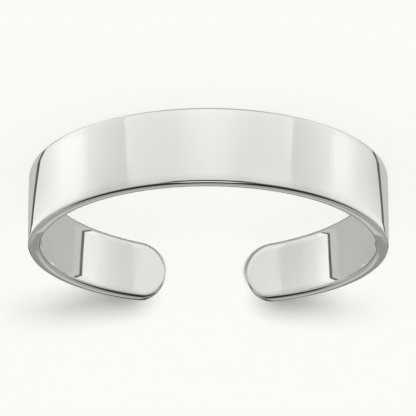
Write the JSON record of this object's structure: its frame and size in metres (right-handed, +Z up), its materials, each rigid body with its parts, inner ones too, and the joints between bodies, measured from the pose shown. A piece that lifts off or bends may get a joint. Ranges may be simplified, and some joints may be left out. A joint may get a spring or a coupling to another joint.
{
  "type": "toe ring",
  "caption": "Plain open toe ring: a flat polished silver strip bent round, narrowing to two round tips with a gap between them.",
  "frame": {"origin": "middle of the ring's box at the height of its lower edge, the surface that it lies on", "axes": "+Z up along the ring's own axis, -Y towards the middle of the band, +Y towards the gap between the tips, X across the ring"},
  "size_m": [0.0166, 0.0164, 0.0037],
  "materials": {
    "silver": "mirror-polished sterling silver"
  },
  "bodies": {
    "root": {"band": "silver"}
  },
  "joints": []
}
